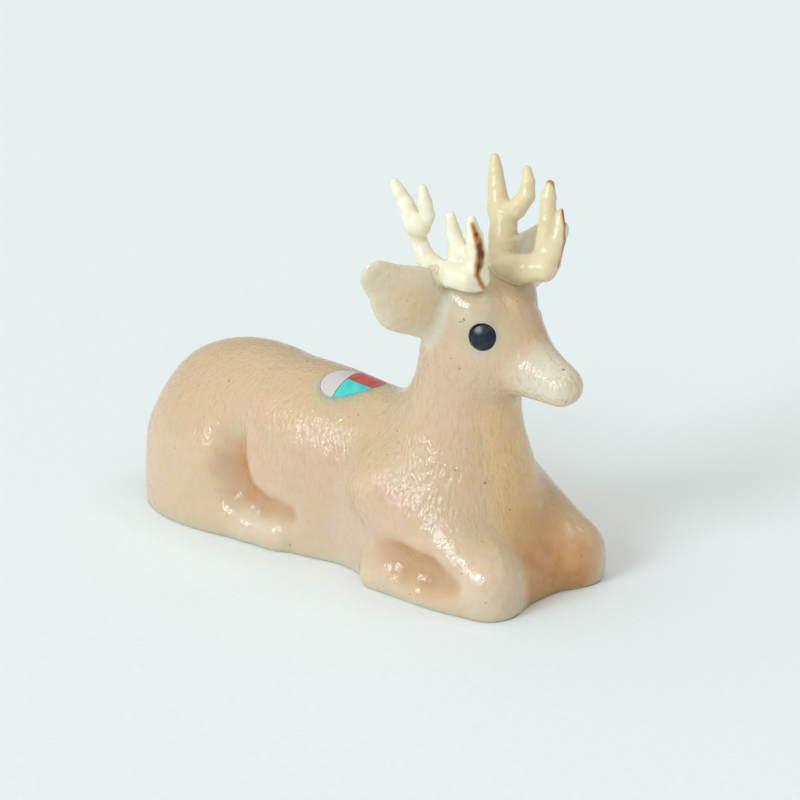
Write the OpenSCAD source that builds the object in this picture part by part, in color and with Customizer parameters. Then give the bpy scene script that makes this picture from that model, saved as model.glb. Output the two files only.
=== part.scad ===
// Reclining buck, a small carving in one piece of honey onyx. Two carved antlers
// stand in drilled sockets, two jet discs are let in as eyes, and a three-stone
// oval is inlaid in the back. Millimetres, +X to the nose, +Y to the animal's
// left, +Z up. The origin is on the resting face, on the line of symmetry of the head.

/* [Eyes] */
// Diameter of a jet eye disc
eye_d = 2.6; // [2:0.1:3]
// Height of the domed face of the eye
eye_dome = 0.25; // [0.15:0.05:0.5]
// Depth of the eye disc below the stone surface
eye_depth = 0.9; // [0.5:0.1:1.2]

/* [Antlers] */
// Diameter of the peg under each antler
peg_d = 1.6; // [1:0.1:1.8]
// Depth of the drilled socket below the crown
socket_depth = 3; // [2:0.5:4]

/* [Inlay] */
// Length of the inlaid oval
inlay_l = 7; // [5:0.1:7.4]
// Width of the inlaid oval
inlay_w = 4.5; // [3:0.1:4.8]
// Turn of the oval away from the line of the back, in degrees
inlay_turn = 55; // [40:1:70]
// Width of the cement line between two stones
inlay_joint = 0.1; // [0.06:0.02:0.2]

/* [Cement] */
// Thickness of the cement round a peg, an eye or a stone
cement_t = 0.12; // [0.08:0.02:0.2]

/* [Facets] */
// Grid step of the carved stone
stone_step = 1.15; // [1:0.05:2]
// Grid step along the head, across the thin ears
ear_step = 0.54; // [0.4:0.05:1]
// Grid step up the head
head_step = 0.85; // [0.5:0.05:1.2]
// Grid step of the antlers
antler_step = 0.42; // [0.4:0.02:0.6]

/* [Hidden] */
$fn = 48;
NEAR = -1;                      // the animal's right side, -Y
FAR = 1;                        // the animal's left side, +Y
SLACK = 0.02;                   // cutters run past the face they open
OPEN = 4;                       // bores and beds run this far out past the stone
BELOW = 0.7;                    // the carving is modelled this far below the base, then cut flat

// Antlers: centre of each socket, and the level of the crown there
socket_at = [15.2, 2.7];
crown_z = 33.6;
PEG_IN_FOOT = 0.4;              // the peg runs on up into the foot of the antler
CEMENT_SHORT = 0.4;             // the cement stops below the crown, which is curved there
socket_d = peg_d + 2 * cement_t;
seat_gap = 0.12;                // cement between antler and crown

// Eyes: centre, a little below the head's surface, and the way the disc faces
eye_at = [17.95, 4.32, 28.92];
eye_yaw = 27;
eye_pitch = 13;
eye_seat_d = eye_d + 2 * cement_t;
eye_dome_r = (pow(eye_d / 2, 2) + pow(eye_dome, 2)) / (2 * eye_dome);

// Inlay: centre of the oval in plan, floor level, and where the three stones meet
inlay_at = [-1.9, -1.6];
inlay_floor = 16.7;
inlay_split = [-2.5, -1.8];     // shell behind it, turquoise on the right, coral on the left
inlay_split_turn = 8;
// Cylinder that the back follows across the oval
back_r = 6.07;
back_axis = [-1.9, -0.86, 12.63];
back_slope = 8;                 // the back falls towards the neck, degrees
back_yaw = 6;                   // and runs a little to the left

// ---- distance functions: negative inside, positive outside ----

// Union of two forms with a fillet of size k
function blend(a, b, k) = let (h = max(k - abs(a - b), 0) / k) min(a, b) - h * h * k / 4;

// Form a with form b cut out of it, the edge eased by k
function carve(a, b, k) = -blend(-a, b, k);

// The hull of two balls, at a and b
function limb(p, a, b, ra, rb) =
    let (
        ab = b - a,
        span = norm(ab),
        grow = (rb - ra) / span,
        along = (p - a) * ab / span,
        across = norm(p - a - along / span * ab),
        t = min(max((along + across * grow / sqrt(1 - grow * grow)) / span, 0), 1)
    )
    norm(p - a - t * ab) - ra - (rb - ra) * t;

// Ellipsoid with centre c and half axes r
function mass(p, c, r) =
    let (
        q = p - c,
        u = [q.x / r.x, q.y / r.y, q.z / r.z],
        g = norm([u.x / r.x, u.y / r.y, u.z / r.z])
    )
    g > 0 ? norm(u) * (norm(u) - 1) / g : -min(r);

// Row of balls joined by round cones: each station is [centre, radius]
function row(p, balls, k, i = 0) =
    let (d = limb(p, balls[i][0], balls[i + 1][0], balls[i][1], balls[i + 1][1]))
    i + 2 < len(balls) ? blend(d, row(p, balls, k, i + 1), k) : d;

function unit(v) = v / norm(v);

// ---- the carved stone ----

// Below mid height the trunk keeps its width down to the base
function squat(p) = p.z < 8 ? [p.x, p.y, 8 + (p.z - 8) * 0.42] : p;
TRUNK_FLAT = 0.8;               // the trunk is deeper than it is wide

function trunk_limb(p, a, b, ra, rb) =
    let (s = [1, 1 / TRUNK_FLAT, 1])
    TRUNK_FLAT * limb([p.x, p.y * s.y, p.z], [a.x, a.y * s.y, a.z], [b.x, b.y * s.y, b.z], ra, rb);

function trunk(p) =
    let (
        q = squat(p),
        side = [q.x, abs(q.y), q.z],
        loin = trunk_limb(q, [-14.8, -0.9, 9.6], [-7.4, -1.4, 9.8], 8.5, 7.5),
        ribs = trunk_limb(q, [-7.4, -1.4, 9.8], [7.4, 0.2, 9.8], 7.5, 8.7),
        rump = mass(q, [-18.2, 0, 9.2], [11.1, 7.3, 9.25]),
        haunch = mass(side, [-19.3, 3.4, 5.7], [9.8, 6.2, 9]),
        thigh = mass(side, [-17.7, 6.3, 8.2], [3.7, 3.3, 3.5]),
        chest = mass(q, [10.1, 0, 7.4], [9.8, 8.6, 8.9]),
        breast = limb(p, [15.7, -2, 2], [15.7, 4.5, 2], 6.7, 6.7),
        hindquarters = blend(blend(blend(blend(loin, ribs, 6), rump, 3), haunch, 2.5), thigh, 1.5)
    )
    blend(blend(hindquarters, chest, 4), breast, 3);

function neck(p) = limb(p, [11.3, 0.2, 13.7], [13.1, 0, 25.4], 5.6, 5.4);

// Foreleg folded under: forearm forward to the knee, cannon back along the ground
function foreleg(p, elbow, knee, sole, hoof) =
    let (
        side = sign(knee[0].y),
        forearm = limb(p, elbow[0], knee[0], elbow[1], knee[1]),
        bend = limb(p, knee[0], sole[0], knee[1], sole[1]),
        heel = [knee[0].x - 2, knee[0].y + side * 1.6, 1.3]
    )
    blend(blend(forearm, bend, 1.5), limb(p, heel, hoof[0], 1.5, hoof[1]), 0.8);

function right_foreleg(p) =
    foreleg(p, [[7, -5.8, 10.4], 3.8], [[20, -5.5, 3.3], 3], [[20, -5.3, 1.2], 3.1], [[6.9, -7.8, 1.2], 1.5]);
function left_foreleg(p) =
    foreleg(p, [[7.3, 6.7, 9.8], 5], [[20.3, 6.9, 2.8], 3.5], [[20.4, 7.4, 1.2], 3.4], [[7.2, 8.4, 1], 1.3]);

HIND_FOOT = [[[-16, 6.4, 2.4], 2.9], [[-11.5, 6.9, 1.7], 2.2], [[-7.8, 6.9, 1.3], 1.9]];
// Crease in front of the thigh, running on above the hind foot
THIGH_CREASE = [[[-12.9, 8.9, 13.2], 0.7], [[-12.9, 9.1, 11.2], 1.1], [[-12.9, 9.2, 8], 1.5],
    [[-12.1, 8.9, 5.8], 1.3], [[-9.6, 8.9, 4.8], 0.95], [[-5.8, 8.7, 4.6], 0.75]];
// Hollow between the forearm and the cannon; the left leg lies further out
ELBOW_HOLLOW = [[[8.4, 9.8, 4.8], 0.9], [[11.4, 10, 4.3], 1.7], [[14.8, 9.9, 3.9], 1.8], [[17.8, 9.6, 3.6], 1]];
LEFT_LEG_OUT = 1.5;

function head(p) =
    let (
        c = [15.1, 0, 29.3],
        tilt = 28,
        q = p - c,
        level = [q.x * cos(tilt) - q.z * sin(tilt), q.y, q.x * sin(tilt) + q.z * cos(tilt)],
        skull = mass(level, [0, 0, 0], [5.45, 4.75, 4.3]),
        muzzle = limb(p, [17.2, 0, 26.3], [24.5, 0, 24.1], 4.1, 2.05),
        n = p - [24.6, 0, 24.4],
        level_nose = [n.x * cos(20) - n.z * sin(20), n.y, n.x * sin(20) + n.z * cos(20)],
        nose = mass(level_nose, [0, 0, 0], [2, 1.9, 1.4]),
        pedicle = mass([p.x, abs(p.y), p.z], [15.4, 3.4, 31.2], [2.6, 2, 2.2])
    )
    blend(blend(blend(skull, muzzle, 2.5), nose, 1.2), pedicle, 1.5);

EAR_THIN = 0.3;                 // thickness of the ear over its breadth

// Discs of an ear in its own plane: along it, up it
RIGHT_EAR = [[[-0.8, -2.2, 0], 1.5], [[4.2, 0.1, 0], 3.3], [[9.3, 1.4, 0], 1.8]];
LEFT_EAR = [[[1.2, 2.2, 0], 3.2], [[4.6, 0.4, 0], 3.7], [[8.1, 0.9, 0], 1.8]];

// Ear: a flat leaf that leaves root along out
function ear(p, root, out, discs) =
    let (
        e1 = unit(out),
        e2 = unit([0.3, 0, 1] - e1 * ([0.3, 0, 1] * e1)),
        e3 = cross(e1, e2),
        q = p - root,
        w = [q * e1, q * e2, q * e3 / EAR_THIN]
    )
    EAR_THIN * row(w, discs, 2);

function ears(p) =
    p.y < 0
        ? ear(p, [13.3, -5.3, 30.9], [-2.4, -8.3, 4.1], RIGHT_EAR)
        : ear(p, [13.4, 5, 31.4], [-0.1, 8.8, 2.1], LEFT_EAR);

function lower_form(p) =
    let (
        side = [p.x, abs(p.y), p.z],
        trunk_and_neck = blend(trunk(p), neck(p), 5),
        legs = blend(blend(trunk_and_neck, right_foreleg(p), 2), left_foreleg(p), 2),
        feet = blend(legs, row(side, HIND_FOOT, 0.5), 1),
        creased = carve(feet, row(side, THIGH_CREASE, 1), 2),
        leg_side = [p.x, abs(p.y) - (p.y > 0 ? LEFT_LEG_OUT : 0), p.z]
    )
    carve(creased, row(leg_side, ELBOW_HOLLOW, 1), 1.2);

HEAD_ONLY_Z = 25;               // above this level only neck and head count

function stone_form(p) =
    let (rest = p.z > HEAD_ONLY_Z ? neck(p) : lower_form(p))
    p.z < 18 ? rest : blend(blend(rest, head(p), 3), ears(p), 1.6);

// ---- antlers ----

RIGHT_ANTLER = [
    [[[15, -3, 33.75], 1.15], [[15, -3.7, 35.4], 1.35], [[14.8, -4.2, 37], 1.1]],
    [[[16.3, -5, 34.9], 1.35], [[14, -6.1, 35.3], 1.2], [[11.7, -5.8, 36.2], 0.97],
        [[10.8, -5.7, 37.7], 0.83], [[10.8, -6.1, 39.3], 0.95]],
    [[[10.5, -6.3, 39.8], 1], [[9.8, -6.6, 41.7], 0.8],
        [[9.1, -6.8, 42.9], 0.62], [[8.6, -7, 43.75], 0.42]],
    [[[11.6, -6.3, 39.6], 0.95], [[12.5, -6.5, 41], 0.78],
        [[12.4, -6.7, 42.4], 0.7], [[12.3, -6.9, 43.85], 0.43]],
    [[[14.8, -4.2, 37], 0.95], [[14.4, -4.6, 39.1], 0.73], [[14.3, -5, 40.95], 0.48]],
    [[[16.6, -3.7, 34.6], 1.35], [[17, -4.3, 37.6], 1.02],
        [[17.1, -4.6, 39.3], 0.82], [[16.9, -4.9, 41.1], 0.48]]
];
LEFT_ANTLER = [
    [[[15.4, 2.7, 33.2], 1.6], [[14, 3.4, 34.6], 1.55],
        [[13.2, 4.4, 36.4], 1.42], [[12.9, 5, 38.3], 1.38]],
    [[[12.1, 5.1, 38.8], 1.2], [[11.5, 5.4, 41], 0.9],
        [[11.1, 5.7, 42.5], 0.73], [[10.7, 6, 43.7], 0.48]],
    [[[14.3, 5.1, 39.2], 1.05], [[15.3, 5.6, 40.7], 0.84],
        [[15.2, 5.9, 42.1], 0.69], [[14.8, 6.2, 43.2], 0.46]],
    [[[15.8, 2, 34], 1.55], [[17.9, 2.4, 34.4], 1.45], [[19.6, 3.2, 34.6], 1.4]],
    [[[18.9, 4, 35.6], 1.1], [[18.9, 4.5, 39.2], 0.84],
        [[18.6, 5, 41.4], 0.78], [[18.6, 5.2, 42.7], 0.45]],
    [[[19.6, 4.2, 35.2], 1.1], [[20.1, 4.7, 37.3], 0.78],
        [[20.2, 5, 38.8], 0.48], [[20.1, 5.2, 40.3], 0.22]]
];

function branches(p, rows, i = 0) =
    let (d = row(p, rows[i], 0.2))
    i + 1 < len(rows) ? blend(d, branches(p, rows, i + 1), 0.7) : d;

// The foot of the antler is shaped to the crown that it stands on
function antler_form(p, rows) =
    let (d = branches(p, rows)) p.z < 36 ? max(d, seat_gap - stone_form(p)) : d;

// ---- a closed mesh of the zero surface of a form ----

CORNERS = [for (x = [0, 1]) for (y = [0, 1]) for (z = [0, 1]) [x, y, z]];
EDGES = [for (a = [0:7]) for (b = [a + 1:7]) if (norm(CORNERS[a] - CORNERS[b]) == 1) [a, b]];
BLOCK = 3;                      // steps in a block of the first, coarse pass
// The two sides of each square of the grid that has a corner at a given point
SQUARES = [for (a = [0:2]) for (s = [-1, 1]) for (t = [-1, 1])
    [for (turn = [1, 2]) [for (b = [0:2]) b == (a + turn) % 3 ? (turn == 1 ? s : t) : 0]]];

// Middle of the points where the surface crosses the edges of a cell
function cell_point(d) =
    let (hits = [for (e = EDGES) let (a = d[e[0]], b = d[e[1]]) if ((a < 0) != (b < 0))
        CORNERS[e[0]] + a / (a - b) * (CORNERS[e[1]] - CORNERS[e[0]])])
    [for (h = hits) 1] * hits / len(hits);

// The level a fraction t of the way from level i to the next
function between(v, i, t) = v[i] + t * (v[i + 1] - v[i]);

// Two triangles for a four-sided face, cut along the shorter diagonal
function halves(pts, q) =
    norm(pts[q[0]] - pts[q[2]]) < norm(pts[q[1]] - pts[q[3]])
        ? [[q[0], q[1], q[2]], [q[0], q[2], q[3]]]
        : [[q[1], q[2], q[3]], [q[1], q[3], q[0]]];

// Levels from low to high in equal steps, the last level left out
function levels(low, high, step) =
    let (n = ceil((high - low) / step)) [for (i = [0:n - 1]) low + (high - low) * i / n];

// Surface of the form on the grid with these levels along x, y and z
function skin(form, xs, ys, zs, step) =
    let (
        n = [len(xs) - 1, len(ys) - 1, len(zs) - 1],
        reach = BLOCK * step * 1.3,
        mid = function (v, i) v[min(i * BLOCK + 1, len(v) - 1)],
        coarse = [for (i = [0:floor(n.x / BLOCK)]) [for (j = [0:floor(n.y / BLOCK)])
            [for (k = [0:floor(n.z / BLOCK)]) form([mid(xs, i), mid(ys, j), mid(zs, k)])]]],
        raw = [for (i = [0:n.x]) [for (j = [0:n.y]) [for (k = [0:n.z])
            let (c = coarse[floor(i / BLOCK)][floor(j / BLOCK)][floor(k / BLOCK)])
            abs(c) > reach ? c : form([xs[i], ys[j], zs[k]])]]],
        at = function (p) let (v = raw[p.x][p.y][p.z]) is_undef(v) ? step : v,
        // Two inside corners across a square join through it, so that no edge of the mesh has four faces
        joined = function (p) len([for (s = SQUARES)
            if (at(p + s[0]) < 0 && at(p + s[1]) < 0 && at(p + s[0] + s[1]) >= 0) 1]) > 0,
        d = [for (i = [0:n.x]) [for (j = [0:n.y]) [for (k = [0:n.z])
            let (v = raw[i][j][k])
            v >= 0 && v < step && joined([i, j, k]) ? -step / 50 : v]]],
        cells = [for (i = [0:n.x - 1]) for (j = [0:n.y - 1]) for (k = [0:n.z - 1])
            [for (c = CORNERS) d[i + c.x][j + c.y][k + c.z]]],
        crossed = [for (c = cells) min(c) < 0 && max(c) >= 0 ? 1 : 0],
        index = [for (m = 0, s = 0; m < len(cells); s = s + crossed[m], m = m + 1) s],
        cell = function (i, j, k) (i * n.y + j) * n.z + k,
        pts = [for (i = [0:n.x - 1]) for (j = [0:n.y - 1]) for (k = [0:n.z - 1])
            let (m = cell(i, j, k)) if (crossed[m] == 1)
                let (t = cell_point(cells[m]))
                [between(xs, i, t.x), between(ys, j, t.y), between(zs, k, t.z)]],
        id = function (i, j, k) index[cell(i, j, k)],
        face = function (a, q) a < 0 ? [q[3], q[2], q[1], q[0]] : q,
        quads = [for (i = [0:n.x - 1]) for (j = [0:n.y - 1]) for (k = [0:n.z - 1])
            let (a = d[i][j][k])
            each [
                if (j > 0 && k > 0 && (a < 0) != (d[i + 1][j][k] < 0))
                    face(a, [id(i, j - 1, k - 1), id(i, j, k - 1), id(i, j, k), id(i, j - 1, k)]),
                if (i > 0 && k > 0 && (a < 0) != (d[i][j + 1][k] < 0))
                    face(a, [id(i - 1, j, k - 1), id(i - 1, j, k), id(i, j, k), id(i, j, k - 1)]),
                if (i > 0 && j > 0 && (a < 0) != (d[i][j][k + 1] < 0))
                    face(a, [id(i - 1, j - 1, k), id(i, j - 1, k), id(i, j, k), id(i - 1, j, k)])
            ]]
    )
    [pts, [for (q = quads) each halves(pts, q)]];

module rounded(form, xs, ys, zs, step) {
    mesh = skin(form, xs, ys, zs, step);
    polyhedron(mesh[0], mesh[1]);
}

// ---- parts ----

module at_socket(side) {
    translate([socket_at.x, side * socket_at.y, crown_z - socket_depth]) children();
}

// Frame of an eye: z points out of the head
module at_eye(side) {
    translate([eye_at.x, side * eye_at.y, eye_at.z])
        rotate([0, 0, side * (90 - eye_yaw)])
            rotate([0, 90 - eye_pitch, 0])
                children();
}

// Upright prism over the oval, grown by the margin
module oval(margin, low, high) {
    a = inlay_l / 2 + margin;
    b = inlay_w / 2 + margin;
    translate([inlay_at.x, inlay_at.y, low])
        rotate([0, 0, inlay_turn])
            linear_extrude(high - low)
                polygon([for (t = [0:10:350]) [a * cos(t), b * sin(t)]]);
}

module body_stone() {
    xs = [each levels(-31, 10, stone_step), each levels(10, 16, ear_step), each levels(16, 30, stone_step)];
    ys = levels(-18, 19, stone_step);
    zs = [each levels(-2, 29, stone_step), each levels(29, 40, head_step)];
    color("#d9b98f")
        difference() {
            rounded(function (p) max(stone_form(p), -BELOW - p.z), xs, ys, zs, stone_step);
            translate([-40, -30, -2 * OPEN]) cube([80, 60, 2 * OPEN]);
            for (side = [NEAR, FAR]) {
                at_socket(side) cylinder(d = socket_d, h = socket_depth + OPEN);
                at_eye(side) translate([0, 0, -eye_depth - cement_t]) cylinder(d = eye_seat_d, h = OPEN);
            }
            oval(0, inlay_floor, inlay_floor + OPEN);
        }
}

module antler(rows, side, low, high) {
    color("#f4edd2")
        union() {
            rounded(function (p) antler_form(p, rows), levels(low.x, high.x, antler_step),
                levels(low.y, high.y, antler_step), levels(low.z, high.z, antler_step), antler_step);
            at_socket(side) translate([0, 0, cement_t])
                cylinder(d = peg_d, h = socket_depth + PEG_IN_FOOT);
        }
}

module left_antler() {
    antler(LEFT_ANTLER, FAR, [8.5, -0.4, 31], [22.5, 8, 45]);
}

module right_antler() {
    antler(RIGHT_ANTLER, NEAR, [7, -9, 31], [19.5, 0.2, 45]);
}

module eye(side) {
    color("#15171c")
        at_eye(side) {
            intersection() {
                translate([0, 0, -eye_depth]) cylinder(d = eye_d, h = eye_depth + eye_dome);
                translate([0, 0, eye_dome - eye_dome_r]) sphere(r = eye_dome_r);
            }
        }
}

module left_eye() {
    eye(FAR);
}

module right_eye() {
    eye(NEAR);
}

// Everything under the polished curve of the back
module under_back() {
    translate(back_axis)
        rotate([0, 90 + back_slope, back_yaw])
            cylinder(r = back_r, h = 3 * inlay_l, $fn = 96, center = true);
}

// The part of the oval's stones between x0..x1 and y0..y1 of their joints, flush with the back
module inlay_stone(x0, x1, y0, y1) {
    intersection() {
        oval(-cement_t / 2, inlay_floor + cement_t, inlay_floor + OPEN);
        translate([inlay_split.x, inlay_split.y, inlay_floor])
            rotate([0, 0, inlay_split_turn])
                translate([x0, y0, 0]) cube([x1 - x0, y1 - y0, OPEN]);
        under_back();
    }
}

INLAY_FAR = 10;                 // past the oval on every side

module shell_inlay() {
    color("#e3d4d4")
        inlay_stone(-INLAY_FAR, -inlay_joint / 2, -INLAY_FAR, INLAY_FAR);
}

module turquoise_inlay() {
    color("#45d2c8")
        inlay_stone(inlay_joint / 2, INLAY_FAR, -INLAY_FAR, -inlay_joint / 2);
}

module coral_inlay() {
    color("#b5483c")
        inlay_stone(inlay_joint / 2, INLAY_FAR, inlay_joint / 2, INLAY_FAR);
}

module inlay_cement() {
    color("#4a4038")
        difference() {
            intersection() {
                oval(0, inlay_floor, inlay_floor + OPEN);
                under_back();
            }
            shell_inlay();
            turquoise_inlay();
            coral_inlay();
        }
}

module antler_cement(side) {
    color("#8c7450")
        at_socket(side)
            difference() {
                cylinder(d = socket_d, h = socket_depth - CEMENT_SHORT);
                translate([0, 0, cement_t]) cylinder(d = peg_d, h = socket_depth);
            }
}

module left_antler_cement() {
    antler_cement(FAR);
}

module right_antler_cement() {
    antler_cement(NEAR);
}

module eye_cement(side) {
    color("#3a332d")
        at_eye(side)
            translate([0, 0, -eye_depth - cement_t])
                difference() {
                    cylinder(d = eye_seat_d, h = eye_depth);
                    translate([0, 0, cement_t]) cylinder(d = eye_d, h = eye_depth + SLACK);
                }
}

module left_eye_cement() {
    eye_cement(FAR);
}

module right_eye_cement() {
    eye_cement(NEAR);
}

body_stone();
left_antler();
right_antler();
left_eye();
right_eye();
shell_inlay();
turquoise_inlay();
coral_inlay();
inlay_cement();
left_antler_cement();
right_antler_cement();
left_eye_cement();
right_eye_cement();
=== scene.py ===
"""Reclining buck carved from honey onyx, with carved antlers, jet eyes and a stone inlay.

The carved pieces are meshed on a fine grid from the rounded forms that the CAD model
has, in millimetres, and scaled to metres. +X is the nose, +Y the animal's left.
"""

import math

import bpy
import numpy as np
import openvdb
from mathutils import Matrix, Vector


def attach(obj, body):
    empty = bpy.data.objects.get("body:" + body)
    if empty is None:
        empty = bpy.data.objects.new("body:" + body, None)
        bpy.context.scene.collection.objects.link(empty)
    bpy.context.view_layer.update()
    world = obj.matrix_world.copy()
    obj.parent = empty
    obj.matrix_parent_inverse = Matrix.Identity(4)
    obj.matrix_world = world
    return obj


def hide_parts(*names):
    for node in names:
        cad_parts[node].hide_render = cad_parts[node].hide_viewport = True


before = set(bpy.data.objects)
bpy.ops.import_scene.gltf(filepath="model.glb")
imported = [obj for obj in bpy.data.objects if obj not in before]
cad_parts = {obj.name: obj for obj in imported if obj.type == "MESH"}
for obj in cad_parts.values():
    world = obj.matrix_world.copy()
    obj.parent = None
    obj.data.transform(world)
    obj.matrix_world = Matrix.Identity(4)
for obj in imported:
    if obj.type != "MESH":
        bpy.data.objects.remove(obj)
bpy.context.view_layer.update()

MM = 0.001
ROOT = "root"
RIGHT = -1  # the side towards the camera, -Y
LEFT = 1

# Design values shared with the CAD model, in millimetres and degrees
EYE_D = 2.6
EYE_DOME = 0.25
EYE_DEPTH = 0.9
EYE_AT = (17.95, 4.32, 28.92)
EYE_YAW = 27
EYE_PITCH = 13
PEG_D = 1.6
SOCKET_DEPTH = 3
SOCKET_AT = (15.2, 2.7)
CROWN_Z = 33.6
PEG_IN_FOOT = 0.4
SEAT_GAP = 0.12
CEMENT_T = 0.12
CEMENT_SHORT = 0.4
INLAY_L = 7
INLAY_W = 4.5
INLAY_TURN = 55
INLAY_JOINT = 0.1
INLAY_AT = (-1.9, -1.6)
INLAY_FLOOR = 16.7
INLAY_SPLIT = (-2.5, -1.8)
INLAY_SPLIT_TURN = 8
OPEN = 4  # height of the cutters over the face of the eyes and the floor of the inlay
SOCKET_TOP = 38  # level of the top of the socket drills, clear of the crown

# Grid steps
STONE_STEP = 0.25
INLAY_STEP = 0.12
ANTLER_STEP = 0.1


# ---- forms: negative inside, positive outside ----


def vec(values):
    return np.array(values, np.float32)


def length(v):
    return np.sqrt(np.einsum("ij,ij->i", v, v))


def blend(a, b, k):
    """Union of two forms with a fillet of size k."""
    h = np.maximum(k - np.abs(a - b), 0) / k
    return np.minimum(a, b) - h * h * k / 4


def carve(a, b, k):
    """Form a with form b cut out of it, the edge eased by k."""
    return -blend(-a, b, k)


def limb(p, a, b, ra, rb):
    """The hull of two balls, at a and b."""
    ab = vec(b) - vec(a)
    span = float(np.linalg.norm(ab))
    grow = (rb - ra) / span
    q = p - vec(a)
    along = q @ ab / span
    across = length(q - (along / span)[:, None] * ab)
    t = np.clip((along + across * grow / math.sqrt(1 - grow**2)) / span, 0, 1)
    return length(q - t[:, None] * ab) - ra - (rb - ra) * t


def mass(p, c, r):
    """Ellipsoid with centre c and half axes r."""
    u = (p - vec(c)) / vec(r)
    g = length(u / vec(r))
    n = length(u)
    return np.where(g > 1e-6, n * (n - 1) / np.maximum(g, 1e-6), -min(r))


def row(p, balls, k):
    """Row of balls joined by round cones: each station is (centre, radius)."""
    d = None
    for (a, ra), (b, rb) in zip(balls[:-1], balls[1:]):
        link = limb(p, a, b, ra, rb)
        d = link if d is None else blend(d, link, k)
    return d


def level(p, c, tilt):
    """Points seen from c in a frame that is tilted nose down."""
    q = p - vec(c)
    s, t = math.sin(math.radians(tilt)), math.cos(math.radians(tilt))
    return np.stack([q[:, 0] * t - q[:, 2] * s, q[:, 1], q[:, 0] * s + q[:, 2] * t], axis=1)


def mirrored(p, out=0.0):
    """Points folded onto the left side, those of the left leg moved in by out."""
    y = np.abs(p[:, 1]) - np.where(p[:, 1] > 0, out, 0)
    return np.stack([p[:, 0], y, p[:, 2]], axis=1).astype(np.float32)


# ---- the carved stone ----

TRUNK_FLAT = 0.8
HIND_FOOT = (((-16, 6.4, 2.4), 2.9), ((-11.5, 6.9, 1.7), 2.2), ((-7.8, 6.9, 1.3), 1.9))
THIGH_CREASE = (
    ((-12.9, 8.9, 13.2), 0.7),
    ((-12.9, 9.1, 11.2), 1.1),
    ((-12.9, 9.2, 8), 1.5),
    ((-12.1, 8.9, 5.8), 1.3),
    ((-9.6, 8.9, 4.8), 0.95),
    ((-5.8, 8.7, 4.6), 0.75),
)
ELBOW_HOLLOW = (
    ((8.4, 9.8, 4.8), 0.9),
    ((11.4, 10, 4.3), 1.7),
    ((14.8, 9.9, 3.9), 1.8),
    ((17.8, 9.6, 3.6), 1),
)
LEFT_LEG_OUT = 1.5
HEAD_ONLY_Z = 25
NECK_ONLY_Z = 18
EAR_THIN = 0.3
# Discs of an ear in its own plane: along it, up it
RIGHT_EAR = (((-0.8, -2.2, 0), 1.5), ((4.2, 0.1, 0), 3.3), ((9.3, 1.4, 0), 1.8))
LEFT_EAR = (((1.2, 2.2, 0), 3.2), ((4.6, 0.4, 0), 3.7), ((8.1, 0.9, 0), 1.8))


def trunk_limb(p, a, b, ra, rb):
    s = vec((1, 1 / TRUNK_FLAT, 1))
    return TRUNK_FLAT * limb(p * s, vec(a) * s, vec(b) * s, ra, rb)


def trunk(p):
    q = p.copy()
    q[:, 2] = np.where(p[:, 2] < 8, 8 + (p[:, 2] - 8) * 0.42, p[:, 2])
    d = trunk_limb(q, (-14.8, -0.9, 9.6), (-7.4, -1.4, 9.8), 8.5, 7.5)
    d = blend(d, trunk_limb(q, (-7.4, -1.4, 9.8), (7.4, 0.2, 9.8), 7.5, 8.7), 6)
    d = blend(d, mass(q, (-18.2, 0, 9.2), (11.1, 7.3, 9.25)), 3)
    d = blend(d, mass(mirrored(q), (-19.3, 3.4, 5.7), (9.8, 6.2, 9)), 2.5)
    d = blend(d, mass(mirrored(q), (-17.7, 6.3, 8.2), (3.7, 3.3, 3.5)), 1.5)
    d = blend(d, mass(q, (10.1, 0, 7.4), (9.8, 8.6, 8.9)), 4)
    return blend(d, limb(p, (15.7, -2, 2), (15.7, 4.5, 2), 6.7, 6.7), 3)


def neck(p):
    return limb(p, (11.3, 0.2, 13.7), (13.1, 0, 25.4), 5.6, 5.4)


def foreleg(p, elbow, knee, sole, hoof):
    side = math.copysign(1, knee[0][1])
    forearm = limb(p, elbow[0], knee[0], elbow[1], knee[1])
    bend = limb(p, knee[0], sole[0], knee[1], sole[1])
    heel = (knee[0][0] - 2, knee[0][1] + side * 1.6, 1.3)
    return blend(blend(forearm, bend, 1.5), limb(p, heel, hoof[0], 1.5, hoof[1]), 0.8)


def right_foreleg(p):
    elbow, knee = ((7, -5.8, 10.4), 3.8), ((20, -5.5, 3.3), 3)
    sole, hoof = ((20, -5.3, 1.2), 3.1), ((6.9, -7.8, 1.2), 1.5)
    return foreleg(p, elbow, knee, sole, hoof)


def left_foreleg(p):
    elbow, knee = ((7.3, 6.7, 9.8), 5), ((20.3, 6.9, 2.8), 3.5)
    sole, hoof = ((20.4, 7.4, 1.2), 3.4), ((7.2, 8.4, 1), 1.3)
    return foreleg(p, elbow, knee, sole, hoof)


def head(p):
    skull = mass(level(p, (15.1, 0, 29.3), 28), (0, 0, 0), (5.45, 4.75, 4.3))
    muzzle = limb(p, (17.2, 0, 26.3), (24.5, 0, 24.1), 4.1, 2.05)
    nose = mass(level(p, (24.6, 0, 24.4), 20), (0, 0, 0), (2, 1.9, 1.4))
    pedicle = mass(mirrored(p), (15.4, 3.4, 31.2), (2.6, 2, 2.2))
    return blend(blend(blend(skull, muzzle, 2.5), nose, 1.2), pedicle, 1.5)


def ear(p, root, out, discs):
    """A flat leaf that leaves root along out."""
    e1 = vec(out) / np.linalg.norm(out)
    up = vec((0.3, 0, 1))
    e2 = up - e1 * float(up @ e1)
    e2 = e2 / np.linalg.norm(e2)
    e3 = np.cross(e1, e2)
    q = p - vec(root)
    w = np.stack([q @ e1, q @ e2, q @ e3 / EAR_THIN], axis=1)
    return EAR_THIN * row(w, discs, 2)


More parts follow.
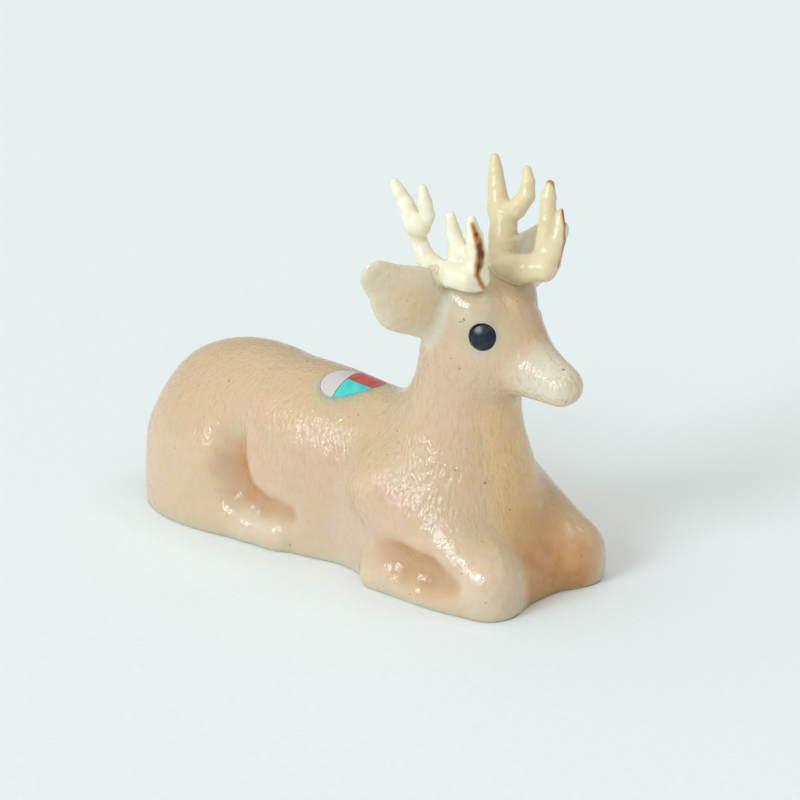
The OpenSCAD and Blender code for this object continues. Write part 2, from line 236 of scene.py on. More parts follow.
def ears(p):
    right = ear(p, (13.3, -5.3, 30.9), (-2.4, -8.3, 4.1), RIGHT_EAR)
    left = ear(p, (13.4, 5, 31.4), (-0.1, 8.8, 2.1), LEFT_EAR)
    return np.where(p[:, 1] < 0, right, left)


def lower_form(p):
    d = blend(trunk(p), neck(p), 5)
    d = blend(blend(d, right_foreleg(p), 2), left_foreleg(p), 2)
    side = mirrored(p)
    d = blend(d, row(side, HIND_FOOT, 0.5), 1)
    d = carve(d, row(side, THIGH_CREASE, 1), 2)
    return carve(d, row(mirrored(p, LEFT_LEG_OUT), ELBOW_HOLLOW, 1), 1.2)


def stone_form(p):
    d = np.empty(len(p), np.float32)
    low = p[:, 2] <= HEAD_ONLY_Z
    d[low] = lower_form(p[low])
    d[~low] = neck(p[~low])
    high = p[:, 2] >= NECK_ONLY_Z
    top = p[high]
    d[high] = blend(blend(d[high], head(top), 3), ears(top), 1.6)
    return d


# ---- the antlers ----

RIGHT_ANTLER = (
    (((15, -3, 33.75), 1.15), ((15, -3.7, 35.4), 1.35), ((14.8, -4.2, 37), 1.1)),
    (
        ((16.3, -5, 34.9), 1.35),
        ((14, -6.1, 35.3), 1.2),
        ((11.7, -5.8, 36.2), 0.97),
        ((10.8, -5.7, 37.7), 0.83),
        ((10.8, -6.1, 39.3), 0.95),
    ),
    (((10.5, -6.3, 39.8), 1), ((9.8, -6.6, 41.7), 0.8), ((9.1, -6.8, 42.9), 0.62), ((8.6, -7, 43.75), 0.42)),
    (
        ((11.6, -6.3, 39.6), 0.95),
        ((12.5, -6.5, 41), 0.78),
        ((12.4, -6.7, 42.4), 0.7),
        ((12.3, -6.9, 43.85), 0.43),
    ),
    (((14.8, -4.2, 37), 0.95), ((14.4, -4.6, 39.1), 0.73), ((14.3, -5, 40.95), 0.48)),
    (
        ((16.6, -3.7, 34.6), 1.35),
        ((17, -4.3, 37.6), 1.02),
        ((17.1, -4.6, 39.3), 0.82),
        ((16.9, -4.9, 41.1), 0.48),
    ),
)
LEFT_ANTLER = (
    (((15.4, 2.7, 33.2), 1.6), ((14, 3.4, 34.6), 1.55), ((13.2, 4.4, 36.4), 1.42), ((12.9, 5, 38.3), 1.38)),
    (((12.1, 5.1, 38.8), 1.2), ((11.5, 5.4, 41), 0.9), ((11.1, 5.7, 42.5), 0.73), ((10.7, 6, 43.7), 0.48)),
    (
        ((14.3, 5.1, 39.2), 1.05),
        ((15.3, 5.6, 40.7), 0.84),
        ((15.2, 5.9, 42.1), 0.69),
        ((14.8, 6.2, 43.2), 0.46),
    ),
    (((15.8, 2, 34), 1.55), ((17.9, 2.4, 34.4), 1.45), ((19.6, 3.2, 34.6), 1.4)),
    (((18.9, 4, 35.6), 1.1), ((18.9, 4.5, 39.2), 0.84), ((18.6, 5, 41.4), 0.78), ((18.6, 5.2, 42.7), 0.45)),
    (((19.6, 4.2, 35.2), 1.1), ((20.1, 4.7, 37.3), 0.78), ((20.2, 5, 38.8), 0.48), ((20.1, 5.2, 40.3), 0.22)),
)
# Toasted streaks: rows of balls near the surface that colour what they reach
RIGHT_CHAR = (
    (
        ((17.3, -5.2, 40.8), 0.02),
        ((17.7, -5.1, 39.8), 0.1),
        ((17.9, -4.8, 38.6), 0.24),
        ((18, -4.7, 37.7), 0.28),
        ((17.8, -4.7, 36.5), 0.25),
        ((17.7, -4.9, 35.5), 0.05),
        ((17.8, -4.5, 34.6), 0.02),
        ((17.7, -3.8, 33.9), 0.05),
    ),
)
LEFT_CHAR = (
    (((18.6, 5.1, 43.1), 0.1), ((19, 5.5, 42.8), 0.2), ((19.3, 5.7, 42.1), 0.1), ((19.4, 5.8, 41.5), 0)),
    (
        ((20.3, 5.3, 40.3), 0.15),
        ((20.6, 5.4, 38.9), 0.3),
        ((20.8, 5.2, 37.4), 0.3),
        ((21.1, 4.6, 35.8), 0.15),
        ((20.9, 3.9, 34.9), 0),
    ),
)


def branches(p, rows):
    d = row(p, rows[0], 0.2)
    for balls in rows[1:]:
        d = blend(d, row(p, balls, 0.2), 0.7)
    return d


def peg(p, side):
    """The round peg under an antler."""
    x, y = SOCKET_AT[0], side * SOCKET_AT[1]
    bottom = CROWN_Z - SOCKET_DEPTH + CEMENT_T
    across = np.hypot(p[:, 0] - x, p[:, 1] - y) - PEG_D / 2
    along = np.maximum(bottom - p[:, 2], p[:, 2] - CROWN_Z - PEG_IN_FOOT)
    return np.maximum(across, along)


def antler_form(p, rows, side):
    """The foot of the antler is shaped to the crown that it stands on."""
    body = np.maximum(branches(p, rows), SEAT_GAP - stone_form(p))
    return np.minimum(body, peg(p, side))


def glue_form(p, rows, side):
    """Glue squeezed out round the foot of an antler, and the sleeve round its peg."""
    antler = branches(p, rows)
    stone = stone_form(p)
    bead = np.maximum(blend(antler, stone, 0.3), np.maximum(-antler - 0.08, -stone - 0.08))
    bead = np.maximum(bead, np.maximum(antler, stone) - 0.25)
    x, y = SOCKET_AT[0], side * SOCKET_AT[1]
    across = np.hypot(p[:, 0] - x, p[:, 1] - y)
    sleeve = np.maximum(across - PEG_D / 2 - CEMENT_T, PEG_D / 2 - across)
    bottom = CROWN_Z - SOCKET_DEPTH
    top = CROWN_Z - CEMENT_SHORT
    return np.minimum(bead, np.maximum(sleeve, np.maximum(bottom - p[:, 2], p[:, 2] - top)))


# ---- meshes ----

BLOCK = 4


def skin(form, low, high, step):
    """Points and quads of the surface of form, from a grid that is only filled near it."""
    blocks = [math.ceil((b - a) / step / BLOCK) for a, b in zip(low, high)]
    size = step * BLOCK
    reach = size * 1.25
    centres = [a + size * (np.arange(n) + 0.5) - step / 2 for a, n in zip(low, blocks)]
    coarse_p = np.stack(np.meshgrid(*centres, indexing="ij"), axis=-1).reshape(-1, 3).astype(np.float32)
    coarse = form(coarse_p).reshape(blocks)
    values = np.repeat(np.repeat(np.repeat(coarse, BLOCK, 0), BLOCK, 1), BLOCK, 2).astype(np.float32)
    corner = np.stack(np.meshgrid(*[np.arange(BLOCK)] * 3, indexing="ij"), axis=-1).reshape(-1, 3)
    near = np.argwhere(np.abs(coarse) < reach)
    batch = 6000
    for start in range(0, len(near), batch):
        cells = near[start : start + batch, None, :] * BLOCK + corner[None]
        p = (vec(low) + cells * np.float32(step)).astype(np.float32)
        values[cells[..., 0], cells[..., 1], cells[..., 2]] = form(p.reshape(-1, 3)).reshape(cells.shape[:2])
    grid = openvdb.FloatGrid(10.0)
    grid.copyFromArray(values)
    points, quads = grid.convertToQuads(isovalue=0)
    return points * step + vec(low), quads


def make_piece(name, points, faces):
    """A smooth mesh object from points in millimetres."""
    mesh = bpy.data.meshes.new(name)
    mesh.from_pydata((points * MM).tolist(), [], [list(map(int, f)) for f in faces])
    mesh.update()
    mesh.polygons.foreach_set("use_smooth", [True] * len(mesh.polygons))
    piece = bpy.data.objects.new(name, mesh)
    bpy.context.scene.collection.objects.link(piece)
    return piece


def prism(outline, low, high):
    """Points and faces of an upright prism over an outline of (x, y) points."""
    n = len(outline)
    points = [(x, y, z) for z in (low, high) for x, y in outline]
    sides = [(i, (i + 1) % n, (i + 1) % n + n, i + n) for i in range(n)]
    return np.array(points), sides + [tuple(reversed(range(n))), tuple(range(n, 2 * n))]


def turned(profile, segments=96):
    """Points and faces of a solid turned about Z from a profile that starts and ends on the axis."""
    turns = [2 * math.pi * i / segments for i in range(segments)]
    rings = profile[1:-1]
    points = [(0, 0, profile[0][1])]
    points += [(r * math.cos(t), r * math.sin(t), z) for r, z in rings for t in turns]
    points += [(0, 0, profile[-1][1])]
    last = len(points) - 1
    faces = []
    for i in range(segments):
        j = (i + 1) % segments
        faces.append((0, 1 + j, 1 + i))
        faces.append((last, last - segments + i, last - segments + j))
        for ring in range(len(rings) - 1):
            a = 1 + ring * segments
            faces.append((a + i, a + j, a + segments + j, a + segments + i))
    return np.array(points), faces


def boolean(piece, tool, operation):
    """Cuts piece with tool, or keeps what they share."""
    step = piece.modifiers.new("cut", "BOOLEAN")
    step.operation = operation
    step.solver = "MANIFOLD"
    step.object = tool
    graph = bpy.context.evaluated_depsgraph_get()
    result = bpy.data.meshes.new_from_object(piece.evaluated_get(graph))
    piece.modifiers.remove(step)
    piece.data = result


def drop(piece):
    bpy.data.objects.remove(piece)


def bore(piece, radius, bottom, top, matrix):
    """Drills a round hole, from bottom to top along the Z of matrix."""
    drill = make_piece("drill", *turned([(0, bottom), (radius, bottom), (radius, top), (0, top)]))
    place(drill, matrix)
    boolean(piece, drill, "DIFFERENCE")
    drop(drill)


def place(piece, matrix):
    """Moves the mesh itself, so that the object stays at the origin."""
    piece.data.transform(matrix)
    piece.data.update()


def crisp(piece, degrees=35):
    piece.data.set_sharp_from_angle(angle=math.radians(degrees))


def eye_matrix(side):
    x, y, z = EYE_AT
    turn = Matrix.Rotation(math.radians(side * (90 - EYE_YAW)), 4, "Z")
    nod = Matrix.Rotation(math.radians(90 - EYE_PITCH), 4, "Y")
    return Matrix.Translation(Vector((x, side * y, z)) * MM) @ turn @ nod


def turned_to(outline, degrees, centre):
    """The outline turned about its origin and then moved to centre."""
    c, s = math.cos(math.radians(degrees)), math.sin(math.radians(degrees))
    return [(centre[0] + x * c - y * s, centre[1] + x * s + y * c) for x, y in outline]


def oval(margin=0.0, sides=96):
    a, b = INLAY_L / 2 + margin, INLAY_W / 2 + margin
    turns = [2 * math.pi * i / sides for i in range(sides)]
    return turned_to([(a * math.cos(t), b * math.sin(t)) for t in turns], INLAY_TURN, INLAY_AT)


def points_of(piece):
    """Points and normals of a piece's mesh, in millimetres."""
    n = len(piece.data.vertices)
    points = np.empty(n * 3, np.float32)
    normals = np.empty(n * 3, np.float32)
    piece.data.vertices.foreach_get("co", points)
    piece.data.vertex_normals.foreach_get("vector", normals)
    return points.reshape(-1, 3) / MM, normals.reshape(-1, 3)


def ramp(x, a, b):
    """0 below a, 1 above b, smooth between."""
    t = np.clip((x - a) / (b - a), 0, 1)
    return t * t * (3 - 2 * t)


def paint(piece, name, values):
    layer = piece.data.attributes.new(name, "FLOAT", "POINT")
    layer.data.foreach_set("value", values.astype(np.float32))


# ---- materials ----


class Nodes:
    """Short names for building a material's nodes."""

    def __init__(self, name):
        self.material = bpy.data.materials.new(name)
        self.material.use_nodes = True
        self.tree = self.material.node_tree
        self.shader = self.tree.nodes["Principled BSDF"]

    def link(self, a, b):
        self.tree.links.new(a, b)

    def add(self, kind, inputs=None, **settings):
        node = self.tree.nodes.new(kind)
        for key, value in settings.items():
            setattr(node, key, value)
        for key, value in (inputs or {}).items():
            if isinstance(value, bpy.types.NodeSocket):
                self.link(value, node.inputs[key])
            else:
                node.inputs[key].default_value = value
        return node

    def position(self, scale, turn=(0, 0, 0)):
        """Place on the object, in metres times scale, turned by degrees."""
        where = self.add("ShaderNodeTexCoord").outputs["Object"]
        mapping = self.add("ShaderNodeMapping", {"Vector": where, "Scale": scale})
        mapping.inputs["Rotation"].default_value = [math.radians(a) for a in turn]
        return mapping.outputs["Vector"]

    def noise(self, scale, detail=3, turn=(0, 0, 0), warp=0.0):
        where = self.position(scale, turn)
        inputs = {"Vector": where, "Scale": 1.0, "Detail": detail, "Roughness": 0.5, "Distortion": warp}
        return self.add("ShaderNodeTexNoise", inputs).outputs["Fac"]

    def attribute(self, name):
        return self.add("ShaderNodeAttribute", attribute_name=name).outputs["Fac"]

    def remap(self, value, a, b, low=0.0, high=1.0):
        inputs = {"Value": value, "From Min": a, "From Max": b, "To Min": low, "To Max": high}
        return self.add("ShaderNodeMapRange", inputs).outputs["Result"]

    def maths(self, operation, a, b):
        node = self.add("ShaderNodeMath", operation=operation)
        for socket, value in zip(node.inputs, (a, b)):
            if isinstance(value, bpy.types.NodeSocket):
                self.link(value, socket)
            else:
                socket.default_value = value
        return node.outputs["Value"]

    def mix(self, factor, a, b):
        node = self.add("ShaderNodeMix", data_type="RGBA")
        for socket, value in zip((node.inputs[0], node.inputs[6], node.inputs[7]), (factor, a, b)):
            if isinstance(value, bpy.types.NodeSocket):
                self.link(value, socket)
            elif isinstance(value, (int, float)):
                socket.default_value = value
            else:
                socket.default_value = (*value, 1)
        return node.outputs[2]

    def bump(self, height, distance_mm, normal=None):
        node = self.add("ShaderNodeBump", {"Height": height, "Distance": distance_mm * MM})
        if normal is not None:
            self.link(normal, node.inputs["Normal"])
        return node.outputs["Normal"]

    def set(self, **values):
        for key, value in values.items():
            socket = self.shader.inputs[key.replace("_", " ")]
            if isinstance(value, bpy.types.NodeSocket):
                self.link(value, socket)
            else:
                socket.default_value = value


def per_mm(x, y=None, z=None):
    """Scale for a pattern that repeats about every x, y and z millimetres."""
    y = x if y is None else y
    z = x if z is None else z
    return (1 / (x * MM), 1 / (y * MM), 1 / (z * MM))


def onyx():
    """Translucent honey stone, carved in short strokes, with painted light and shade: pale where thin as if
    lit through, tan on top, a glow on the front, and amber shade in the hollows and the stroke grooves.
    """
    n = Nodes("honey_onyx")
    pale = (0.73, 0.67, 0.53)
    warm = (0.76, 0.59, 0.33)
    honey = (0.67, 0.50, 0.335)
    pink = (0.69, 0.49, 0.355)
    top_light_tan = (0.63, 0.465, 0.275)
    # Amber: the colour of the shade painted into the hollows
    amber = (0.55, 0.25, 0.08)
    cloud = n.remap(n.noise(per_mm(6), 5), 0.38, 0.62)
    colour = n.mix(cloud, honey, pink)
    # Painted light: faces that turn up are painted tan, where the light from above falls on them
    colour = n.mix(n.maths("MULTIPLY", n.attribute("up"), 0.8), colour, top_light_tan)
    # Painted light: a warm glow painted on the front of the chest and neck, as if lit through the stone
    colour = n.mix(n.attribute("painted_glow"), colour, (0.84, 0.59, 0.31))
    # Painted light: thin parts are painted pale, as if lit through
    colour = n.mix(n.attribute("thin"), colour, pale)
    colour = n.mix(n.maths("MULTIPLY", n.attribute("ear"), n.remap(cloud, 0, 1, 0.9, 0.4)), colour, warm)
    # Painted shade: amber painted into the thigh crease, the elbow hollows and between the forelegs
    blotch = n.remap(n.noise(per_mm(1.6), 3), 0.35, 0.65, 0.82, 1.06)
    colour = n.mix(n.maths("MULTIPLY", n.attribute("hollow_shade"), blotch), colour, amber)
    tooled = n.attribute("tooled")
    lean = n.remap(n.noise(per_mm(9), 1), 0.45, 0.55)
    forward = n.noise(per_mm(0.34, 0.34, 1.3), 2, turn=(0, -30, 0))
    back = n.noise(per_mm(0.34, 0.34, 1.1), 2, turn=(20, 12, 0))
    leaning = n.maths("MULTIPLY", forward, lean)
    strokes = n.maths("ADD", leaning, n.maths("MULTIPLY", back, n.maths("SUBTRACT", 1, lean)))
    # Painted shade: the grooves of the strokes are painted darker and more orange
    groove_shade = n.maths("MULTIPLY", n.remap(strokes, 0.5, 0.36, 0, 0.3), tooled)
    colour = n.mix(groove_shade, colour, (0.58, 0.35, 0.17))
    mottle = n.remap(n.noise(per_mm(0.9), 4), 0.42, 0.62, 0, 0.16)
    colour = n.mix(mottle, colour, (0.60, 0.40, 0.22))
    speck = n.remap(n.noise(per_mm(0.7), 2), 0.745, 0.765)
    colour = n.mix(n.maths("MULTIPLY", speck, 0.7), colour, (0.16, 0.07, 0.03))
    normal = n.bump(n.noise(per_mm(1.1, 1.1, 1.7), 3, turn=(0, -20, 0)), 0.2)
    normal = n.bump(n.maths("MULTIPLY", strokes, tooled), 0.16, normal)
    normal = n.bump(n.noise(per_mm(0.3), 2), 0.025, normal)
    n.set(Base_Color=colour, Normal=normal, IOR=1.54)
    n.set(Roughness=n.remap(n.noise(per_mm(2.5), 3), 0.35, 0.65, 0.1, 0.26))
    n.set(Subsurface_Weight=n.remap(n.attribute("thin"), 0, 1, 0.7, 0.35))
    n.set(Subsurface_Radius=(1.6, 0.6, 0.25), Subsurface_Scale=3 * MM)
    return n.material


def ivory():
    """Carved antler, toasted brown in streaks."""
    n = Nodes("antler_ivory")
    cream = (0.92, 0.87, 0.70)
    yellow = (0.78, 0.66, 0.40)
    toast = (0.62, 0.27, 0.05)
    burnt = (0.13, 0.035, 0.01)
    colour = n.mix(n.remap(n.noise(per_mm(1.8), 4), 0.4, 0.7, 0, 0.6), cream, yellow)
    # Painted shade: the far antler, on the shaded side, is painted yellower
    colour = n.mix(n.maths("MULTIPLY", n.attribute("far_antler_shade"), 0.6), colour, (0.72, 0.56, 0.29))
    grain = n.noise(per_mm(0.5, 0.5, 2), 3)
    wobble = n.remap(n.noise(per_mm(0.5, 0.5, 1.2), 4), 0.3, 0.7, 0.75, 1.25)
    char = n.maths("MULTIPLY", n.attribute("char"), wobble)
    colour = n.mix(n.remap(char, 0.05, 0.5, 0, 0.95), colour, toast)
    colour = n.mix(n.remap(char, 0.55, 0.95), colour, burnt)
    normal = n.bump(n.noise(per_mm(0.9), 3), 0.08)
    normal = n.bump(grain, 0.03, normal)
    n.set(Base_Color=colour, Normal=normal, Roughness=0.25, IOR=1.52)
    n.set(Subsurface_Weight=0.5, Subsurface_Radius=(1.0, 0.7, 0.4), Subsurface_Scale=0.8 * MM)
    return n.material


def jet():
    """Polished jet with a faint blue sheen of fine scratches."""
    n = Nodes("polished_jet")
    mottle = n.remap(n.noise(per_mm(0.5), 4), 0.35, 0.7)
    colour = n.mix(mottle, (0.008, 0.01, 0.016), (0.02, 0.026, 0.042))
    scratch = n.noise(per_mm(0.5, 0.06, 0.5), 2, turn=(0, 0, 35))
    n.set(Base_Color=colour, Normal=n.bump(scratch, 0.006), IOR=1.4)
    n.set(Roughness=n.remap(mottle, 0, 1, 0.15, 0.3))
    return n.material


def turquoise():
    n = Nodes("turquoise")
    cloud = n.remap(n.noise(per_mm(0.9), 4), 0.35, 0.68)
    colour = n.mix(cloud, (0.02, 0.55, 0.52), (0.07, 0.66, 0.61))
    vein = n.remap(n.noise(per_mm(1.1), 4, warp=0.6), 0.66, 0.72)
    colour = n.mix(n.maths("MULTIPLY", vein, 0.6), colour, (0.02, 0.30, 0.27))
    n.set(Base_Color=colour, Normal=n.bump(cloud, 0.008), Roughness=0.25)
    return n.material


def coral():
    n = Nodes("coral")
    cloud = n.remap(n.noise(per_mm(0.35, 1.6, 0.6), 3), 0.3, 0.7)
    colour = n.mix(cloud, (0.42, 0.05, 0.032), (0.64, 0.125, 0.08))
    n.set(Base_Color=colour, Normal=n.bump(cloud, 0.008), Roughness=0.25)
    return n.material


def shell():
    n = Nodes("pink_shell")
    band = n.remap(n.noise(per_mm(0.6, 2.5, 1.5), 3, turn=(0, 0, 30)), 0.3, 0.7)
    colour = n.mix(band, (0.68, 0.60, 0.57), (0.64, 0.60, 0.60))
    n.set(Base_Color=colour, Normal=n.bump(band, 0.006), Roughness=0.22)
    n.set(Subsurface_Weight=0.4, Subsurface_Radius=(1, 0.7, 0.6), Subsurface_Scale=0.4 * MM)
    return n.material


def glue(name, dark, light, roughness):
    n = Nodes(name)
    cloud = n.remap(n.noise(per_mm(0.4), 3), 0.35, 0.65)
    n.set(Base_Color=n.mix(cloud, dark, light), Roughness=roughness, Normal=n.bump(cloud, 0.01))
    return n.material


def paper():
    n = Nodes("pale_ground")
    fibre = n.noise(per_mm(1.1, 0.8, 1), 4)
    colour = n.mix(n.remap(fibre, 0.3, 0.7), (0.845, 0.895, 0.905), (0.86, 0.91, 0.92))
    n.set(Base_Color=colour, Roughness=0.75, Normal=n.bump(fibre, 0.05))
    n.set(Specular_IOR_Level=0.2)
    return n.material


def dress(piece, material, slot, *nodes):
    """Gives a piece its material, hangs it on the root and hides the CAD parts that it replaces."""
    piece.data.materials.clear()
    piece.data.materials.append(material)
    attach(piece, ROOT)
    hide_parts(*nodes)


# ---- the pieces ----


def smooth_base(form):
    """The form cut flat at the ground, with a slightly eased edge."""
    return lambda p: carve(form(p), p[:, 2], 0.15)


def paint_stone(stone):
    """Marks the ears, where the stone is thin and where it is tooled, and paints light and shade: shade in
    the hollows, a glow in front and light on the topmost faces.
    """
    points, normals = points_of(stone)
    x, y, z = points.T
    thickness = -stone_form(points - normals * 4.5) / 4.5
    ear_skin = 1 - ramp(ears(points), 0.02, 0.5)
    ear_middle = ramp(-ears(points - normals), 0.2, 0.8)
    paint(stone, "ear", ear_skin * ramp(np.abs(y), 5, 7) * (0.25 + 0.75 * ear_middle))
    # How thin the stone is: thin parts are painted pale, as if lit through
    paint(stone, "thin", 1 - ramp(thickness, 0.1, 0.88))
    side = mirrored(points)
    # Painted shade in the thigh crease, the elbow hollows and low between the forelegs
    crease = 1 - ramp(row(side - vec((0.5, 0, 0)), THIGH_CREASE, 1), -0.3, 1)
    crease *= 1 - ramp(z, 9.5, 13)
    elbow = 1 - ramp(row(mirrored(points, LEFT_LEG_OUT), ELBOW_HOLLOW, 1), -0.2, 1.2)
    forward = ramp(normals[:, 0], 0.55, 1) * ramp(x, 10, 15)
    between_legs = ramp(normals[:, 0], 0.35, 0.9) * ramp(x, 10, 15)
    between_legs *= (1 - ramp(z, 1, 16)) * (1 - ramp(np.abs(y - 1.9), 3.2, 6.2))
    paint(stone, "hollow_shade", np.clip(crease + 0.65 * elbow + 0.95 * between_legs, 0, 1))
    # Painted light: a glow painted on the front of the chest and neck, which faces away from the window light
    paint(stone, "painted_glow", forward * (1 - ramp(z, 20, 26)) * (1 - ramp(np.abs(y - 1.2), 3.5, 6)))
    # Painted light: how far each face turns up, for the tan painted on top
    paint(stone, "up", ramp(normals[:, 2], 0.25, 0.85))
    on_thigh = ramp(-x, 10.5, 13) * (1 - ramp(z, 12, 16))
    paint(stone, "tooled", ramp(z, 5, 11) * (1 - ramp(z, 25, 29)) * (1 - 0.4 * on_thigh))


def make_stone():
    points, quads = skin(smooth_base(stone_form), (-31, -18, -1), (29, 19, 39), STONE_STEP)
    stone = make_piece("stone_deer", points, quads)
    for side in (RIGHT, LEFT):
        bore(stone, EYE_D / 2 + CEMENT_T, -EYE_DEPTH - CEMENT_T, OPEN, eye_matrix(side))
        socket = Matrix.Translation(Vector((SOCKET_AT[0], side * SOCKET_AT[1], 0)) * MM)
        bore(stone, PEG_D / 2 + CEMENT_T, CROWN_Z - SOCKET_DEPTH, SOCKET_TOP, socket)
    cutter = make_piece("cutter", *prism(oval(), INLAY_FLOOR, INLAY_FLOOR + OPEN))
    boolean(stone, cutter, "DIFFERENCE")
    drop(cutter)
    crisp(stone, 50)
    paint_stone(stone)
    dress(stone, onyx(), "honey_stone", "body_stone")


def make_antler(name, node, rows, side, low, high, char_rows, material):
    points, quads = skin(lambda p: antler_form(p, rows, side), low, high, ANTLER_STEP)
    antler = make_piece(name, points, quads)
    crisp(antler, 60)
    reach = np.min([row(points.astype(np.float32), balls, 0.2) for balls in char_rows], axis=0)
    paint(antler, "char", 1 - ramp(reach, -0.2, 0.45))
    # Painted shade: the far antler, on the shaded side, is marked to be painted yellower
    paint(antler, "far_antler_shade", np.full(len(reach), float(side == LEFT)))
    dress(antler, material, "antler_bone", node)


def make_eye(name, node, side, material):
    r = EYE_D / 2
    dome_r = (r**2 + EYE_DOME**2) / (2 * EYE_DOME)
    bevel = 0.1
    rings = [r * 0.97 * (1 - i / 12) for i in range(1, 12)]
    dome = [(x, EYE_DOME - dome_r + math.sqrt(dome_r**2 - x**2)) for x in rings]
    profile = [(0, -EYE_DEPTH), (r - bevel, -EYE_DEPTH), (r, -EYE_DEPTH + bevel), (r, -0.06), (r - 0.02, 0)]
    profile += dome + [(0, EYE_DOME)]
    eye = make_piece(name, *turned(profile))
    place(eye, eye_matrix(side))
    dress(eye, material, "jet", node)


def make_eye_glue(name, node, side, material):
    r = EYE_D / 2
    outer = r + CEMENT_T
    floor_z = -EYE_DEPTH - CEMENT_T
    profile = [(0, floor_z), (outer, floor_z), (outer, -0.28), (r + 0.06, -0.22), (r, -0.24)]
    profile += [(r, -EYE_DEPTH), (0, -EYE_DEPTH)]
    cup = make_piece(name, *turned(profile))
    place(cup, eye_matrix(side))
    crisp(cup)
    dress(cup, material, "dark_cement", node)


def inlay_body(drop_mm):
    """The stone round the inlay, its surface lowered by drop_mm."""
    low = (INLAY_AT[0] - 4.2, INLAY_AT[1] - 4.4, INLAY_FLOOR - 1)
    high = (INLAY_AT[0] + 4.2, INLAY_AT[1] + 4.4, INLAY_FLOOR + 3)
    middle, half = (vec(low) + vec(high)) / 2, (vec(high) - vec(low)) / 2 - 4 * INLAY_STEP

    def form(p):
        box = np.max(np.abs(p - middle) - half, axis=1)
        return np.maximum(stone_form(p) + drop_mm, box)

    return make_piece("inlay_body", *skin(form, low, high, INLAY_STEP))


def part_of_oval(x0, x1, y0, y1):
    """The oval, less the cement line round it, between x0..x1 and y0..y1 of its joints."""
    cutter = make_piece("part", *prism(oval(-CEMENT_T / 2), INLAY_FLOOR + CEMENT_T, INLAY_FLOOR + OPEN))
    corners = turned_to([(x0, y0), (x1, y0), (x1, y1), (x0, y1)], INLAY_SPLIT_TURN, INLAY_SPLIT)
    window = make_piece("window", *prism(corners, INLAY_FLOOR - 1, INLAY_FLOOR + 5))
    boolean(cutter, window, "INTERSECT")
    drop(window)
    return cutter


def make_inlay():
    joint = INLAY_JOINT / 2
    far = 10
    stones = (
        ("inlay_shell", "shell_inlay", "shell", shell(), (-far, -joint, -far, far)),
        ("inlay_turquoise", "turquoise_inlay", "turquoise", turquoise(), (joint, far, -far, -joint)),
        ("inlay_coral", "coral_inlay", "coral", coral(), (joint, far, joint, far)),
    )
    top = inlay_body(0.0)
    sunk = inlay_body(0.05)
    bed = make_piece("inlay_glue", *prism(oval(), INLAY_FLOOR, INLAY_FLOOR + OPEN))
    boolean(bed, sunk, "INTERSECT")
    for name, node, slot, material, window in stones:
        piece = part_of_oval(*window)
        piece.name = name
        boolean(bed, piece, "DIFFERENCE")
        boolean(piece, top, "INTERSECT")
        crisp(piece)
        dress(piece, material, slot, node)
    crisp(bed)
    dress(bed, glue("bed_glue", (0.16, 0.11, 0.07), (0.34, 0.25, 0.16), 0.4), "dark_cement", "inlay_cement")
    drop(top)
    drop(sunk)


def make_antlers():
    bone = ivory()
    amber = glue("amber_glue", (0.66, 0.50, 0.28), (0.76, 0.63, 0.41), 0.25)
    sets = (
        ("left", LEFT_ANTLER, LEFT, (8, -1, 30), (23, 9, 46), LEFT_CHAR),
        ("right", RIGHT_ANTLER, RIGHT, (6, -9.5, 30), (20, 0.5, 46), RIGHT_CHAR),
    )
    for word, rows, side, low, high, char_rows in sets:
        make_antler(f"antler_{word}", f"{word}_antler", rows, side, low, high, char_rows, bone)
        top = (high[0], high[1], 37)
        bead = make_piece(
            f"antler_glue_{word}", *skin(lambda p: glue_form(p, rows, side), low, top, ANTLER_STEP)
        )
        dress(bead, amber, "amber_cement", f"{word}_antler_cement")


def make_eyes():
    black = jet()
    brown = glue("eye_glue", (0.10, 0.06, 0.035), (0.22, 0.14, 0.08), 0.35)
    for word, side in (("left", LEFT), ("right", RIGHT)):
        make_eye(f"eye_{word}", f"{word}_eye", side, black)
        make_eye_glue(f"eye_glue_{word}", f"{word}_eye_cement", side, brown)


# ---- camera, light and ground ----

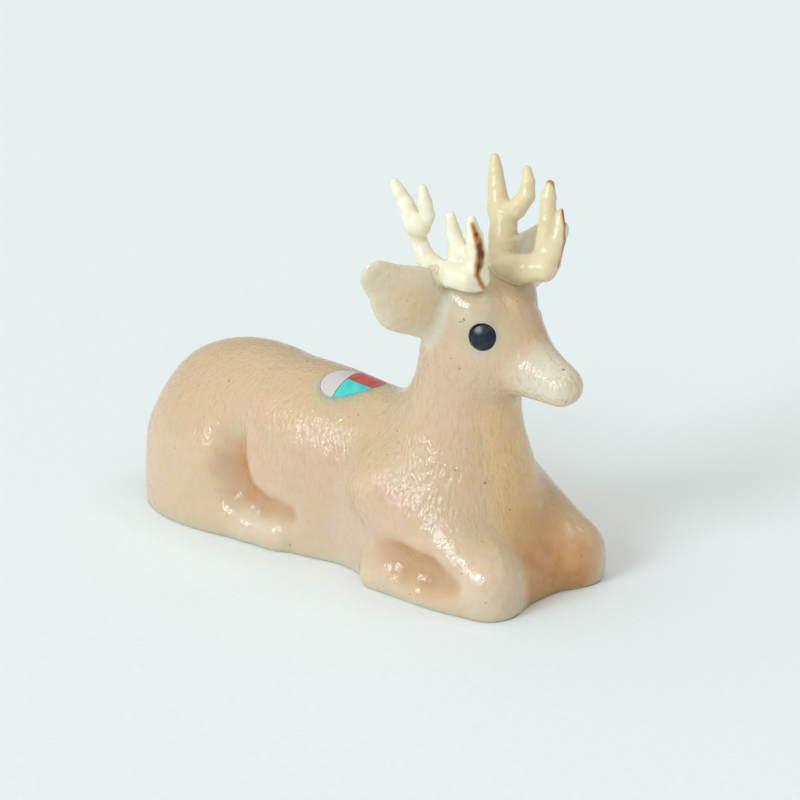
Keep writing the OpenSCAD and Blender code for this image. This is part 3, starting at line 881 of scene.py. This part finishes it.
VIEW_AZIMUTH = 41.4
VIEW_ELEVATION = 20.7
VIEW_DISTANCE = 0.42
VIEW_TARGET = Vector((3.2, 0, 17.3)) * MM
LENS = 182.4


def towards(azimuth, elevation):
    """Unit vector to a point seen at this azimuth, from -Y towards +X, and elevation."""
    a, e = math.radians(azimuth), math.radians(elevation)
    return Vector((math.sin(a) * math.cos(e), -math.cos(a) * math.cos(e), math.sin(e)))


def aim(thing, direction):
    """Points a camera or light at the object from the given side."""
    thing.rotation_euler = direction.to_track_quat("Z", "Y").to_euler()


def add_camera():
    data = bpy.data.cameras.new("camera")
    data.lens = LENS
    data.clip_start = 0.01
    data.clip_end = 20
    camera = bpy.data.objects.new("camera", data)
    direction = towards(VIEW_AZIMUTH, VIEW_ELEVATION)
    camera.location = VIEW_TARGET + direction * VIEW_DISTANCE
    aim(camera, direction)
    bpy.context.scene.collection.objects.link(camera)
    bpy.context.scene.camera = camera


def add_sun(name, azimuth, elevation, spread, strength, colour):
    data = bpy.data.lights.new(name, "SUN")
    data.energy = strength
    data.angle = math.radians(spread)
    data.color = colour
    sun = bpy.data.objects.new(name, data)
    aim(sun, towards(azimuth, elevation))
    bpy.context.scene.collection.objects.link(sun)


def add_light():
    add_sun("window", -3, 27, 24, 1.55, (0.76, 0.92, 1.0))
    add_sun("ceiling", -20, 70, 110, 1.08, (1.0, 0.99, 0.95))
    add_sun("doorway", 130, 58, 12, 0.13, (1.0, 0.97, 0.88))
    world = bpy.data.worlds.new("room")
    world.use_nodes = True
    room = world.node_tree.nodes["Background"]
    room.inputs["Color"].default_value = (0.98, 1.0, 0.97, 1)
    room.inputs["Strength"].default_value = 0.42
    bpy.context.scene.world = world
    bpy.context.scene.view_settings.view_transform = "Standard"


def add_ground():
    half = 3000
    corners = [(-half, -half), (half, -half), (half, half), (-half, half)]
    ground = make_piece("ground", np.array([(x, y, 0) for x, y in corners]), [(0, 1, 2, 3)])
    ground.data.materials.append(paper())


add_camera()
add_light()
add_ground()
make_stone()
make_antlers()
make_eyes()
make_inlay()
